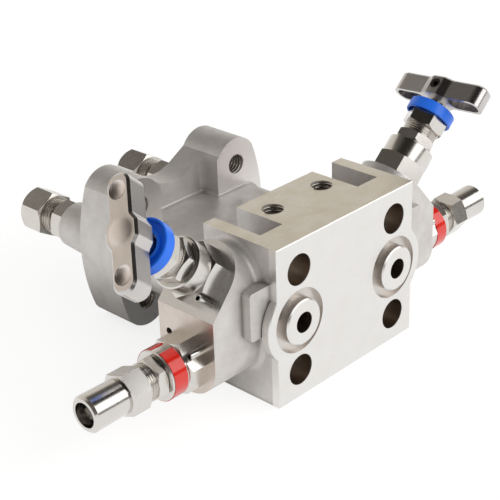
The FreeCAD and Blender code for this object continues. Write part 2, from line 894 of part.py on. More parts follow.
def fitting_nut():
    # Hexagon nut with a domed outer end
    low = nut_start
    high = nut_start + nut_length
    corner = nut_flats / math.sqrt(3.0)
    dome_start = high - nut_dome_length
    envelope = turned([
        (0, low), (nut_flats / 2.0 - hex_rim_inset, low), (corner, low + nut_edge),
        (corner, dome_start), (corner - nut_dome_inset, dome_start + nut_dome_step),
        (nut_end_radius + nut_dome_shoulder, high - nut_dome_drop), (nut_end_radius, high),
        (0, high)])
    blank = hex_bar(nut_flats, low, high, hex_turns["fitting_nut"]).common(envelope)
    bore = turned([
        (0, low - overlap), (fitting_thread_radius, low - overlap),
        (fitting_thread_radius, low + nut_bore_end), (tube_radius, low + nut_bore_end),
        (tube_radius, high + overlap), (0, high + overlap)])
    return blank.cut(bore)


def hex_turn(piece, side):
    return -side * hex_turns[piece]


def isolate_parts(name, side):
    frame = isolate_placement(side)
    handle = FreeCAD.Placement(Vec(0, 0, 0), Vec(0, 0, 1), bar_turn[name])
    turned_frame = frame.multiply(handle)
    return {
        "isolate_bonnet_" + name: placed(bonnet(hex_turn("isolate_bonnet", side)), frame),
        "isolate_lock_nut_" + name: placed(lock_nut(hex_turn("isolate_lock_nut", side)), frame),
        "isolate_gland_adjuster_" + name: placed(gland_adjuster(hex_turn("isolate_gland", side)), frame),
        "isolate_packing_" + name: placed(packing(), frame),
        "isolate_thrust_washer_" + name: placed(thrust_washer(), frame),
        "isolate_spindle_" + name: placed(isolate_spindle(), turned_frame),
        "isolate_tip_" + name: placed(valve_tip(), frame),
        "dust_cap_" + name: placed(dust_cap(), frame),
        "t_bar_" + name: placed(t_bar(), turned_frame),
        "t_bar_set_screw_" + name: placed(set_screw(), turned_frame),
    }


def vent_parts(name, side):
    frame = vent_placement(side)
    return {
        "vent_bonnet_" + name: placed(bonnet(hex_turn("vent_bonnet", side)), frame),
        "vent_label_band_" + name: placed(label_band(), frame),
        "vent_lock_nut_" + name: placed(lock_nut(hex_turn("vent_lock_nut", side)), frame),
        "vent_shroud_" + name: placed(vent_shroud(hex_turn("vent_shroud", side)), frame),
        "vent_packing_" + name: placed(packing(), frame),
        "vent_thrust_washer_" + name: placed(thrust_washer(), frame),
        "vent_spindle_" + name: placed(vent_spindle(), frame),
        "vent_tip_" + name: placed(valve_tip(), frame),
    }


def fitting_parts(name, side):
    frame = process_placement(side)
    return {
        "fitting_body_" + name: placed(fitting_body(), frame),
        "fitting_nut_" + name: placed(fitting_nut(), frame),
        "fitting_front_ferrule_" + name: placed(front_ferrule(), frame),
        "fitting_back_ferrule_" + name: placed(back_ferrule(), frame),
    }


def build_all():
    nodes = {"manifold_body": manifold_body()}
    for name, side in SIDES.items():
        nodes["bonnet_pins_" + name] = bonnet_pins(side)
        nodes.update(isolate_parts(name, side))
        nodes.update(vent_parts(name, side))
        nodes.update(fitting_parts(name, side))
    return nodes


os.makedirs("parts", exist_ok=True)
for node_name, node_shape in build_all().items():
    node_shape.exportStep("parts/" + node_name + ".step")
    print(node_name, len(node_shape.Solids), round(node_shape.Volume, 1), node_shape.isValid())
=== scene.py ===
import json
import math

import bmesh
import bpy
from mathutils import Matrix, Vector


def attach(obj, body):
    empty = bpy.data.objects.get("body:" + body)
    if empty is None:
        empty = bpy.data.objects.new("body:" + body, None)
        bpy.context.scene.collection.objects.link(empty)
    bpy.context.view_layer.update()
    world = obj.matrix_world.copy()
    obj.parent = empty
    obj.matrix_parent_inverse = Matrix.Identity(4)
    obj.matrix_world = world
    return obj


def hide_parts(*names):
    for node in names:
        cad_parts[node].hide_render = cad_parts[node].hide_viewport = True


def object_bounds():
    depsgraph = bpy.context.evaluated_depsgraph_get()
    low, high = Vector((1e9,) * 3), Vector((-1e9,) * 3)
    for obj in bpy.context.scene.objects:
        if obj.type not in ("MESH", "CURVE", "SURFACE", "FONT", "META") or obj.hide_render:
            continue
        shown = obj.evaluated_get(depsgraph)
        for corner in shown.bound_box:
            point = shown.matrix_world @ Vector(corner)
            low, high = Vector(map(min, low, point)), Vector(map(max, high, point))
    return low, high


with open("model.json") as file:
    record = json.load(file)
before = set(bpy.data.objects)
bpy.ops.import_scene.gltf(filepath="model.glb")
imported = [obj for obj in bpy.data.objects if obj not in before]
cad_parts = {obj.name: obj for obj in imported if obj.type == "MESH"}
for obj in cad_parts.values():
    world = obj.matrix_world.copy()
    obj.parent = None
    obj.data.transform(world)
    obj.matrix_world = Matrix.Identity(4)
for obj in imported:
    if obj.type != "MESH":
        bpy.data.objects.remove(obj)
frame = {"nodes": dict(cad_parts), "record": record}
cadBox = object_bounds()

# Instrument manifold: cast and machined stainless steel, blue dust caps, red label bands.
# Meshes are in metres, in the frame of the CAD parts. Sizes and patterns are given in millimetres.

mm = 0.001
sides = {"left": -1, "right": 1}     # sign of x
nodes = frame["nodes"]


def srgb(hexCode):
    channels = [int(hexCode[i:i + 2], 16) / 255 for i in (1, 3, 5)]
    linear = [c / 12.92 if c <= 0.04045 else ((c + 0.055) / 1.055) ** 2.4 for c in channels]
    return (*linear, 1.0)


def addNode(tree, kind, links=None, stops=(), **settings):
    # links maps an input's name or number to a value, a socket, or a node whose first output is taken
    node = tree.nodes.new(kind)
    for key, value in settings.items():
        setattr(node, key, value)
    for index, (position, colour) in enumerate(stops):
        elements = node.color_ramp.elements
        element = elements[index] if index < len(elements) else elements.new(position)
        element.position = position
        element.color = srgb(colour)
    for key, value in (links or {}).items():
        if isinstance(value, bpy.types.Node):
            value = value.outputs[0]
        if isinstance(value, bpy.types.NodeSocket):
            tree.links.new(value, node.inputs[key])
        else:
            node.inputs[key].default_value = value
    return node


# Camera, at the photograph's viewing angle

cameraSetup = {
    "place": (-0.33849, -0.28059, 0.24090),
    "right": (0.68693503, -0.72601165, -0.03205233),
    "up": (0.34761689, 0.28953461, 0.891814),
    "back": (-0.6381871, -0.6237602, 0.45126537),
    "focalPixels": 1341.56,
    "imagePixels": 500,
    "sensorWidth": 36,
    "clip": (0.01, 30),
}


def addCamera(setup):
    data = bpy.data.cameras.new("camera")
    data.sensor_width = setup["sensorWidth"]
    data.lens = setup["focalPixels"] / setup["imagePixels"] * setup["sensorWidth"]
    data.clip_start, data.clip_end = setup["clip"]
    camera = bpy.data.objects.new("camera", data)
    axes = Matrix((setup["right"], setup["up"], setup["back"])).transposed().to_4x4()
    camera.matrix_world = Matrix.Translation(setup["place"]) @ axes
    bpy.context.scene.collection.objects.link(camera)
    bpy.context.scene.camera = camera


addCamera(cameraSetup)
print("camera set")

# Floor, lights and world

studio = {
    "floorSize": 16.0,
    "floorGap": 0.05 * mm,
    "paperColour": "#f7f6f4",
    "paperWhite": 1.2,       # level at which the camera and the metal see the paper
    "paperShade": 0.34,      # share of the true light and shadow that stays on it
    "underAt": (0.0, 0.075, 0.0),
    "underReach": ((0.04, 0.085), (0.04, 0.07)),     # where the shade starts to fade and ends, on x and y
    "underShade": 0.9,       # how dark the metal sees the paper under the object
    "plainLevel": 0.55,      # even light from all round
    # Wall colours that the metal sees, by height from the horizon to the zenith
    "byHeight": ((0.0, "#fbf9f5"), (0.1, "#f3f1ec"), (0.3, "#e6e2db"), (0.5, "#e4dfd7"), (0.57, "#d6d0c6"),
                 (0.64, "#625e5a"), (0.8, "#5c5853"), (1.0, "#4e4b47")),
    "brightSide": 80,        # azimuth of the palest wall, in degrees
    # Share of those colours, from the far side of the room to the palest wall
    "byTurn": ((0.0, "#6a6763"), (0.42, "#7c7975"), (0.54, "#a8a6a4"), (0.68, "#ffffff"), (1.0, "#ffffff")),
    "boxes": {
        "frontBox": {"azimuth": -66, "elevation": 31, "distance": 1.3, "size": (2.6, 0.9), "level": 1.8},
    },
}


def seenRays(tree):
    # One for camera, glossy and transmission rays, nothing for the rays that light the object
    path = addNode(tree, "ShaderNodeLightPath")
    seen = addNode(tree, "ShaderNodeMath", {
        0: path.outputs["Is Camera Ray"], 1: path.outputs["Is Glossy Ray"]}, operation="MAXIMUM")
    return addNode(tree, "ShaderNodeMath", {
        0: seen, 1: path.outputs["Is Transmission Ray"]}, operation="MAXIMUM").outputs[0]


def addFloor(setup):
    half = setup["floorSize"] / 2
    low = cadBox[0].z - setup["floorGap"]
    mesh = bpy.data.meshes.new("floor")
    corners = [(-half, -half, low), (half, -half, low), (half, half, low), (-half, half, low)]
    mesh.from_pydata(corners, [], [(0, 1, 2, 3)])
    floor = bpy.data.objects.new("floor", mesh)
    bpy.context.scene.collection.objects.link(floor)
    material = bpy.data.materials.new("white studio paper")
    material.use_nodes = True
    tree = material.node_tree
    tree.nodes.clear()
    paper = addNode(tree, "ShaderNodeBsdfDiffuse", {"Color": srgb(setup["paperColour"])})
    # The metal sees the paper under the object as shaded
    glossy = addNode(tree, "ShaderNodeLightPath").outputs["Is Glossy Ray"]
    shade = addNode(tree, "ShaderNodeMath", {0: glossy, 1: setup["underShade"]}, operation="MULTIPLY")
    spot = addNode(tree, "ShaderNodeTexCoord").outputs["Object"]
    spot = addNode(tree, "ShaderNodeVectorMath", {0: spot, 1: setup["underAt"]}, operation="SUBTRACT")
    spot = addNode(tree, "ShaderNodeVectorMath", {0: spot}, operation="ABSOLUTE")
    spot = addNode(tree, "ShaderNodeSeparateXYZ", {0: spot})
    for reach, (near, far) in zip(spot.outputs, setup["underReach"]):
        under = addNode(tree, "ShaderNodeMapRange", {
            "Value": reach, "From Min": near, "From Max": far, "To Min": 1.0, "To Max": 0.0},
            interpolation_type="SMOOTHSTEP")
        shade = addNode(tree, "ShaderNodeMath", {0: shade, 1: under}, operation="MULTIPLY")
    level = addNode(tree, "ShaderNodeMath", {0: 1.0, 1: shade}, operation="SUBTRACT")
    level = addNode(tree, "ShaderNodeMath", {0: level, 1: setup["paperWhite"]}, operation="MULTIPLY")
    white = addNode(tree, "ShaderNodeEmission", {"Strength": level})
    share = addNode(tree, "ShaderNodeMath", {
        0: seenRays(tree), 1: 1 - setup["paperShade"]}, operation="MULTIPLY")
    both = addNode(tree, "ShaderNodeMixShader", {0: share, 1: paper, 2: white})
    addNode(tree, "ShaderNodeOutputMaterial", {"Surface": both})
    material.cycles.emission_sampling = "NONE"       # the glow is for rays that see it, not a lamp
    mesh.materials.append(material)


def addSoftbox(name, box):
    azimuth, elevation = math.radians(box["azimuth"]), math.radians(box["elevation"])
    reach = math.cos(elevation)
    outward = Vector((math.cos(azimuth) * reach, math.sin(azimuth) * reach, math.sin(elevation)))
    data = bpy.data.lights.new(name, "AREA")
    data.shape = "RECTANGLE"
    data.size, data.size_y = box["size"]
    data.energy = box["level"] * math.pi * data.size * data.size_y
    light = bpy.data.objects.new(name, data)
    light.location = outward * box["distance"]
    light.rotation_euler = (-outward).to_track_quat("-Z", "Y").to_euler()
    bpy.context.scene.collection.objects.link(light)


def addWorld(setup):
    world = bpy.data.worlds.new("studio")
    bpy.context.scene.world = world
    world.use_nodes = True
    world.cycles.sampling_method = "NONE"            # what metal sees of the wall comes from its own rays
    tree = world.node_tree
    tree.nodes.clear()
    direction = addNode(tree, "ShaderNodeTexCoord").outputs["Generated"]
    height = addNode(tree, "ShaderNodeSeparateXYZ", {0: direction}).outputs["Z"]
    # Nought at the far side of the room, one at the palest wall
    turn = math.radians(setup["brightSide"])
    across = addNode(tree, "ShaderNodeVectorMath", {
        0: direction, 1: (math.cos(turn) / 2, math.sin(turn) / 2, 0)}, operation="DOT_PRODUCT")
    across = addNode(tree, "ShaderNodeMath", {0: across.outputs["Value"], 1: 0.5}, operation="ADD")
    wallHeight = addNode(tree, "ShaderNodeValToRGB", {0: height}, stops=setup["byHeight"])
    wallTurn = addNode(tree, "ShaderNodeValToRGB", {0: across}, stops=setup["byTurn"])
    wall = addNode(tree, "ShaderNodeMix", {
        "Factor": 1.0, "A": wallHeight, "B": wallTurn}, data_type="RGBA", blend_type="MULTIPLY")
    level = setup["plainLevel"]
    colour = addNode(tree, "ShaderNodeMix", {
        "Factor": seenRays(tree), "A": (level, level, level, 1), "B": wall.outputs["Result"]},
        data_type="RGBA")
    cameraRays = addNode(tree, "ShaderNodeLightPath").outputs["Is Camera Ray"]
    colour = addNode(tree, "ShaderNodeMix", {
        "Factor": cameraRays, "A": colour.outputs["Result"], "B": (1, 1, 1, 1)}, data_type="RGBA")
    background = addNode(tree, "ShaderNodeBackground", {"Color": colour.outputs["Result"]})
    addNode(tree, "ShaderNodeOutputWorld", {"Surface": background})


addFloor(studio)
for boxName, box in studio["boxes"].items():
    addSoftbox(boxName, box)
addWorld(studio)
bpy.context.scene.view_settings.view_transform = "Standard"
print("studio set")

# Places that the materials, the valve heads and the threads share, in millimetres

lineAt = 27.0                # each of the two process lines, from the middle
fittingSeat = 124.5          # where the tube fittings meet the body, along y
valves = {
    "isolate": {"base": (53.8, 21.5, 21.6), "tilt": math.radians(41)},
    "vent": {"base": (63.0, 21.5, -7.6), "tilt": 0.0},
}


def valveAxis(kind, side):
    # Base point and outward direction of one valve
    x, y, z = valves[kind]["base"]
    tilt = valves[kind]["tilt"]
    return Vector((side * x, y, z)), Vector((side * math.cos(tilt), 0, math.sin(tilt)))


# Surfaces: each material reads Object coordinates, turned to millimetres

faceMark = "blasted"         # attribute that is one on the outer face of a handle
grainSpan = (0.3, 0.7)       # where nearly all values of a noise lie
detail = {"patches": 3, "grain": 4, "turned": 2, "castPatches": 4, "cutter": 3}     # layers of each noise


def startMaterial(name, look):
    material = bpy.data.materials.new(name)
    material.use_nodes = True
    tree = material.node_tree
    shader = tree.nodes["Principled BSDF"]
    shader.inputs["Metallic"].default_value = look["metallic"]
    shader.inputs["Coat Weight"].default_value = look.get("coat", 0.0)
    place = addNode(tree, "ShaderNodeTexCoord").outputs["Object"]
    place = addNode(tree, "ShaderNodeVectorMath", {0: place, "Scale": 1 / mm}, operation="SCALE")
    return material, tree, shader, place.outputs[0]


def addFinish(tree, shader, patches, grain, look):
    # Two tones in patches, and a grain that varies the gloss and the height
    tones = addNode(tree, "ShaderNodeMix", {
        "Factor": patches, "A": srgb(look["tones"][0]), "B": srgb(look["tones"][1])}, data_type="RGBA")
    tree.links.new(tones.outputs["Result"], shader.inputs["Base Color"])
    rough = addNode(tree, "ShaderNodeMapRange", {
        "Value": grain, "From Min": grainSpan[0], "From Max": grainSpan[1],
        "To Min": look["roughness"][0], "To Max": look["roughness"][1]})
    tree.links.new(rough.outputs[0], shader.inputs["Roughness"])
    bump = addNode(tree, "ShaderNodeBump", {
        "Height": grain, "Strength": 1.0, "Distance": look["relief"] * mm})
    tree.links.new(bump.outputs[0], shader.inputs["Normal"])


def addTwoFinishes(tree, shader, patches, height, share, first, second):
    # Two finishes on one piece: share is 0 where the first shows and 1 where the second does
    tones, ends = [], []
    for index in (0, 1):
        tone = addNode(tree, "ShaderNodeMix", {
            "Factor": share, "A": srgb(first["tones"][index]), "B": srgb(second["tones"][index])},
            data_type="RGBA")
        tones.append(tone.outputs["Result"])
        ends.append(addNode(tree, "ShaderNodeMix", {
            "Factor": share, "A": first["roughness"][index], "B": second["roughness"][index]}))
    colour = addNode(tree, "ShaderNodeMix", {
        "Factor": patches, "A": tones[0], "B": tones[1]}, data_type="RGBA")
    tree.links.new(colour.outputs["Result"], shader.inputs["Base Color"])
    rough = addNode(tree, "ShaderNodeMapRange", {
        "Value": height, "From Min": grainSpan[0], "From Max": grainSpan[1],
        "To Min": ends[0], "To Max": ends[1]})
    tree.links.new(rough.outputs[0], shader.inputs["Roughness"])
    relief = addNode(tree, "ShaderNodeMix", {
        "Factor": share, "A": first["relief"] * mm, "B": second["relief"] * mm})
    bump = addNode(tree, "ShaderNodeBump", {"Height": height, "Strength": 1.0, "Distance": relief})
    tree.links.new(bump.outputs[0], shader.inputs["Normal"])
    return colour.outputs["Result"]


def grainedMaterial(name, look):
    # An even grain with no direction, as on moulded, blasted and rolled surfaces
    material, tree, shader, place = startMaterial(name, look)
    patches = addNode(tree, "ShaderNodeTexNoise", {
        "Vector": place, "Scale": 1 / look["patchSize"], "Detail": detail["patches"]})
    grain = addNode(tree, "ShaderNodeTexNoise", {
        "Vector": place, "Scale": 1 / look["grainSize"], "Detail": detail["grain"]})
    addFinish(tree, shader, patches.outputs[0], grain.outputs[0], look)
    return material


def turnedMaterial(name, look, base, outward):
    # Tool marks run round the axis of the piece, on its sides and on its end faces
    material, tree, shader, place = startMaterial(name, look)
    fromBase = addNode(tree, "ShaderNodeVectorMath", {0: place, 1: base}, operation="SUBTRACT")
    along = addNode(tree, "ShaderNodeVectorMath", {0: fromBase, 1: outward}, operation="DOT_PRODUCT")
    across = addNode(tree, "ShaderNodeVectorMath", {0: fromBase, 1: outward}, operation="CROSS_PRODUCT")
    radius = addNode(tree, "ShaderNodeVectorMath", {0: across}, operation="LENGTH")
    rings = addNode(tree, "ShaderNodeCombineXYZ", {0: radius.outputs["Value"], 1: along.outputs["Value"]})
    marks = addNode(tree, "ShaderNodeTexNoise", {
        "Vector": rings, "Scale": 1 / look["grainSize"], "Detail": detail["turned"]})
    patches = addNode(tree, "ShaderNodeTexNoise", {
        "Vector": place, "Scale": 1 / look["patchSize"], "Detail": detail["patches"]})
    addFinish(tree, shader, patches.outputs[0], marks.outputs[0], look)
    return material


def handleMaterial(name, look):
    # Blasted outer face between smoother sides, told apart by an attribute of the mesh
    material, tree, shader, place = startMaterial(name, look)
    onFace = addNode(tree, "ShaderNodeAttribute", attribute_name=faceMark).outputs["Fac"]
    patches = addNode(tree, "ShaderNodeTexNoise", {
        "Vector": place, "Scale": 1 / look["patchSize"], "Detail": detail["patches"]})
    grain = addNode(tree, "ShaderNodeTexNoise", {
        "Vector": place, "Scale": 1 / look["grainSize"], "Detail": detail["grain"]})
    addTwoFinishes(tree, shader, patches, grain, onFace, look, look["face"])
    return material


# Investment cast stainless steel. Blasting leaves the casting dull and mottled, and the milled faces are
# paler with a satin shine. Painted shade darkens the creases of the casting and the drilled holes, which
# are also tinted brown; a painted reflection of a warm wall tints the top and bottom faces straw, and the
# wing ends are darker and browner than the other milled faces.

wingAt = 63.0                # outer ends of the valve wings, from the middle
topAt = 32.25                # top and bottom faces, from the middle
planeSlack = 0.06            # how far from a milled plane still counts as on it
slopeTilt = valves["isolate"]["tilt"]
castSteel = {
    "metallic": 1.0,
    "cast": {"tones": ("#e8e5e2", "#bdb8b3"), "roughness": (0.4, 0.56), "relief": 0.06, "metallic": 0.7},
    "milled": {"tones": ("#e8e7e5", "#dfdcd8"), "roughness": (0.27, 0.36), "relief": 0.005},
    # painted shade of the holes and recesses: a darker tone that is also tinted brown
    "drilled": {"tones": ("#c6b6a7", "#94857a")},
    "top": {"tones": ("#efece6", "#d3c9b4")},            # painted reflection of a warm wall, a faint straw tint on the top and bottom faces
    "wing": {"tones": ("#ddd3cb", "#c3b7ad")},           # darker and browner than the other milled faces
    # Painted shade: a darker tone multiplied into the creases where faces meet
    "crease": {"tone": "#9a948d", "reach": 4.0, "from": 0.75, "to": 0.3, "samples": 8},
    "patchSize": 9.0,
    "patchRoughness": 0.6,
    "grainSize": 0.8,        # coarser than the real grit, so that it shows
    "cutterMark": 0.7,       # coarser than the real feed marks too
    "cutterStretch": (0.08, 1.0, 1.0),                   # marks run along x
    "drillStretch": (0.0, 1.0, 0.0),                     # rings run round the hole
    "frontStrip": 3.6,       # the edges of the instrument flange are milled this far back
    "faces": [               # milled planes: direction, distance and slack
        ((0, 1, 0), 1.1, 1.16),                          # instrument face, spigots and seal recesses
        ((0, 0, 1), topAt, planeSlack), ((0, 0, 1), -topAt, planeSlack),
        ((1, 0, 0), wingAt, planeSlack),
        ((math.cos(slopeTilt), 0, math.sin(slopeTilt)), 54.774, 0.08),       # seats of the isolate valves
        ((0, 1, 0), 83.0, planeSlack), ((0, 1, 0), 104.0, planeSlack)],      # sides of the process flange
    "holes": [               # x and z of each hole, its radius, where it lies along y, and how strongly its painted shade and brown tint show
        {"at": (lineAt, 20.65), "radius": 6.2, "depths": (0.4, 13.0), "share": 1.0},
        {"at": (lineAt, 0.0), "radius": 4.3, "depths": (-1.7, 30.0), "share": 1.0},
        {"at": (lineAt, 0.0), "radius": 12.62, "depths": (-1.5, 3.0), "share": 0.35}],
}


def bodyMaterial(look):
    material, tree, shader, place = startMaterial("blasted cast steel, milled faces", look)
    split = addNode(tree, "ShaderNodeSeparateXYZ", {0: place})
    x = addNode(tree, "ShaderNodeMath", {0: split.outputs[0]}, operation="ABSOLUTE")
    z = addNode(tree, "ShaderNodeMath", {0: split.outputs[2]}, operation="ABSOLUTE")
    folded = addNode(tree, "ShaderNodeCombineXYZ", {0: x, 1: split.outputs[1], 2: split.outputs[2]})
    milled = 0.0
    for normal, distance, slack in look["faces"]:
        reach = addNode(tree, "ShaderNodeVectorMath", {0: folded, 1: normal}, operation="DOT_PRODUCT")
        on = addNode(tree, "ShaderNodeMath", {
            0: reach.outputs["Value"], 1: distance, 2: slack}, operation="COMPARE")
        milled = addNode(tree, "ShaderNodeMath", {0: milled, 1: on}, operation="MAXIMUM")
    strip = addNode(tree, "ShaderNodeMath", {
        0: split.outputs[1], 1: look["frontStrip"]}, operation="LESS_THAN")
    milled = addNode(tree, "ShaderNodeMath", {0: milled, 1: strip}, operation="MAXIMUM")
    # Bolt holes, pressure ports and seal recesses of the instrument face
    drilled = 0.0
    for hole in look["holes"]:
        fromHole = addNode(tree, "ShaderNodeCombineXYZ", {
            0: addNode(tree, "ShaderNodeMath", {0: x, 1: hole["at"][0]}, operation="SUBTRACT"),
            1: addNode(tree, "ShaderNodeMath", {0: z, 1: hole["at"][1]}, operation="SUBTRACT")})
        away = addNode(tree, "ShaderNodeVectorMath", {0: fromHole}, operation="LENGTH").outputs["Value"]
        inHole = addNode(tree, "ShaderNodeMath", {0: away, 1: hole["radius"]}, operation="LESS_THAN")
        halfway = sum(hole["depths"]) / 2
        along = addNode(tree, "ShaderNodeMath", {
            0: split.outputs[1], 1: halfway, 2: halfway - hole["depths"][0]}, operation="COMPARE")
        inHole = addNode(tree, "ShaderNodeMath", {0: inHole, 1: along}, operation="MULTIPLY")
        inHole = addNode(tree, "ShaderNodeMath", {0: inHole, 1: hole["share"]}, operation="MULTIPLY")
        drilled = addNode(tree, "ShaderNodeMath", {0: drilled, 1: inHole}, operation="MAXIMUM")
    milled = addNode(tree, "ShaderNodeMath", {0: milled, 1: drilled}, operation="MAXIMUM")
    reflectionOnTop = addNode(tree, "ShaderNodeMath", {0: z, 1: topAt, 2: planeSlack}, operation="COMPARE")
    onWing = addNode(tree, "ShaderNodeMath", {0: x, 1: wingAt, 2: planeSlack}, operation="COMPARE")
    # Cast mottling and the long marks that the milling cutter leaves
    patches = addNode(tree, "ShaderNodeTexNoise", {
        "Vector": place, "Scale": 1 / look["patchSize"], "Detail": detail["castPatches"],
        "Roughness": look["patchRoughness"]})
    grain = addNode(tree, "ShaderNodeTexNoise", {
        "Vector": place, "Scale": 1 / look["grainSize"], "Detail": detail["grain"]})
    stretch = addNode(tree, "ShaderNodeMix", {
        "Factor": drilled, "A": look["cutterStretch"], "B": look["drillStretch"]}, data_type="VECTOR")
    marks = addNode(tree, "ShaderNodeVectorMath", {
        0: place, 1: stretch.outputs["Result"]}, operation="MULTIPLY")
    marks = addNode(tree, "ShaderNodeTexNoise", {
        "Vector": marks, "Scale": 1 / look["cutterMark"], "Detail": detail["cutter"]})
    height = addNode(tree, "ShaderNodeMix", {"Factor": milled, "A": grain, "B": marks})
    colour = addTwoFinishes(tree, shader, patches, height, milled, look["cast"], look["milled"])
    # Painted shade: the cast faces are darkened in their creases, by ambient occlusion
    crease = look["crease"]
    openness = addNode(tree, "ShaderNodeAmbientOcclusion", {
        "Distance": crease["reach"] * mm}, samples=crease["samples"])
    cast = addNode(tree, "ShaderNodeMath", {0: 1.0, 1: milled}, operation="SUBTRACT")
    share = addNode(tree, "ShaderNodeMapRange", {
        "Value": openness.outputs["AO"], "From Min": crease["from"], "From Max": crease["to"],
        "To Min": 0.0, "To Max": cast})
    colour = addNode(tree, "ShaderNodeMix", {
        "Factor": share, "A": colour, "B": srgb(crease["tone"])},
        data_type="RGBA", blend_type="MULTIPLY").outputs["Result"]
    # Tones painted over some planes: painted shade with a brown tint in the holes, a painted reflection on
    # the top and bottom faces, and a darker browner tone on the wing ends
    for mask, finish in ((drilled, "drilled"), (reflectionOnTop, "top"), (onWing, "wing")):
        light, dark = look[finish]["tones"]
        tone = addNode(tree, "ShaderNodeMix", {
            "Factor": patches, "A": srgb(light), "B": srgb(dark)}, data_type="RGBA")
        colour = addNode(tree, "ShaderNodeMix", {
            "Factor": mask, "A": colour, "B": tone.outputs["Result"]}, data_type="RGBA").outputs["Result"]
    tree.links.new(colour, shader.inputs["Base Color"])
    metallic = addNode(tree, "ShaderNodeMix", {
        "Factor": milled, "A": look["cast"]["metallic"], "B": look["metallic"]})
    tree.links.new(metallic.outputs[0], shader.inputs["Metallic"])
    return material


# Grains and tool marks are drawn coarser than the real ones, which are too fine to show

looks = {
    # turned 316 stainless: fine rings that stretch the highlights
    "turned_steel": {"metallic": 1.0, "tones": ("#dedbd7", "#cfcbc5"), "roughness": (0.19, 0.26),
                     "relief": 0.0006, "grainSize": 0.6, "patchSize": 6.0},
    # drawn tube: the brightest metal here, with long clean reflections
    "bright_tube": {"metallic": 1.0, "tones": ("#dcd9d5", "#cfcbc6"), "roughness": (0.17, 0.22),
                    "relief": 0.0006, "grainSize": 0.5, "patchSize": 8.0},
    # machined fitting steel: a softer shine
    "fitting_steel": {"metallic": 1.0, "tones": ("#dcd9d4", "#ccc7c0"), "roughness": (0.25, 0.32),
                      "relief": 0.0008, "grainSize": 0.6, "patchSize": 6.0},
    # investment cast handle: satin sides, and a blasted face that looks dull and warm
    "cast_handle": {"metallic": 1.0, "tones": ("#cfcccb", "#c1bebc"), "roughness": (0.23, 0.26),
                    "relief": 0.0, "grainSize": 0.6, "patchSize": 7.0,
                    "face": {"tones": ("#f4ebe5", "#e2d7cf"), "roughness": (0.34, 0.46), "relief": 0.035}},
    # ground spring pin: small sharp highlights
    "pin_steel": {"metallic": 1.0, "tones": ("#dedcd8", "#cbc8c2"), "roughness": (0.1, 0.2),
                  "relief": 0.002, "grainSize": 0.4, "patchSize": 4.0},
    # blackened alloy screw: a dark spot in the hub
    "dark_screw": {"metallic": 1.0, "tones": ("#5a5652", "#423e3b"), "roughness": (0.25, 0.4),
                   "relief": 0.01, "grainSize": 0.3, "patchSize": 2.0},
    # white PTFE ring: waxy, with hardly any gloss
    "white_packing": {"metallic": 0.0, "tones": ("#f2f1ec", "#e6e4dc"), "roughness": (0.4, 0.5),
                      "relief": 0.01, "grainSize": 0.5, "patchSize": 3.0},
    # moulded vinyl: an even strong blue with a soft gloss
    "blue_cap": {"metallic": 0.0, "tones": ("#1f7cf6", "#1767ea"), "roughness": (0.28, 0.36),
                 "relief": 0.006, "grainSize": 1.2, "patchSize": 8.0},
    # printed film under varnish: flat red with a clear shine
    "red_label": {"metallic": 0.0, "coat": 0.5, "tones": ("#e2281a", "#d62216"), "roughness": (0.1, 0.14),
                  "relief": 0.003, "grainSize": 1.5, "patchSize": 6.0},
    # cut threads: a little darker than the metal round them
    "thread_steel": {"metallic": 1.0, "tones": ("#cbc5bd", "#b3aca2"), "roughness": (0.2, 0.34),
                     "relief": 0.002, "grainSize": 0.5, "patchSize": 3.0},
}


def makeMaterials():
    made = {"cast_body": bodyMaterial(castSteel)}
    for slotName, look in looks.items():
        if slotName not in ("turned_steel", "bright_tube", "fitting_steel", "cast_handle"):
            made[slotName] = grainedMaterial(slotName.replace("_", " "), look)
    for name, side in sides.items():
        for kind in valves:
            base, outward = valveAxis(kind, side)
            made[kind + name] = turnedMaterial(
                "turned steel " + kind + " " + name, looks["turned_steel"], base, outward)
            made["bright" + kind + name] = turnedMaterial(
                "drawn bright steel " + kind + " " + name, looks["bright_tube"], base, outward)
        made["handle" + name] = handleMaterial("blasted cast handle " + name, looks["cast_handle"])
        base, outward = Vector((side * lineAt, fittingSeat, 0)), Vector((0, 1, 0))
        made["fitting" + name] = turnedMaterial(
            "turned fitting steel " + name, looks["fitting_steel"], base, outward)
    return made


def materialFor(node, slotName):
    # Turned pieces have a material for each axis, so that the marks run round it
    name = node.rsplit("_", 1)[-1]
    kind = "isolate" if node.startswith("isolate") else "vent"
    if slotName == "turned_steel":
        return materials[kind + name]
    if slotName == "bright_tube":
        return materials["bright" + kind + name]
    if slotName in ("fitting_steel", "cast_handle"):
        return materials[("fitting" if slotName == "fitting_steel" else "handle") + name]
    return materials[slotName]


materials = makeMaterials()
for part in frame["record"]["subparts"]:
    faces = nodes[part["node"]].data.materials
    faces.clear()
    faces.append(materialFor(part["node"], part["material_slot"]))
print("materials set")

# Valve head pieces at their measured sizes, as copies of the solids. Each row is the height in the solid
# along the valve axis, the height wanted, and the share of the width wanted.

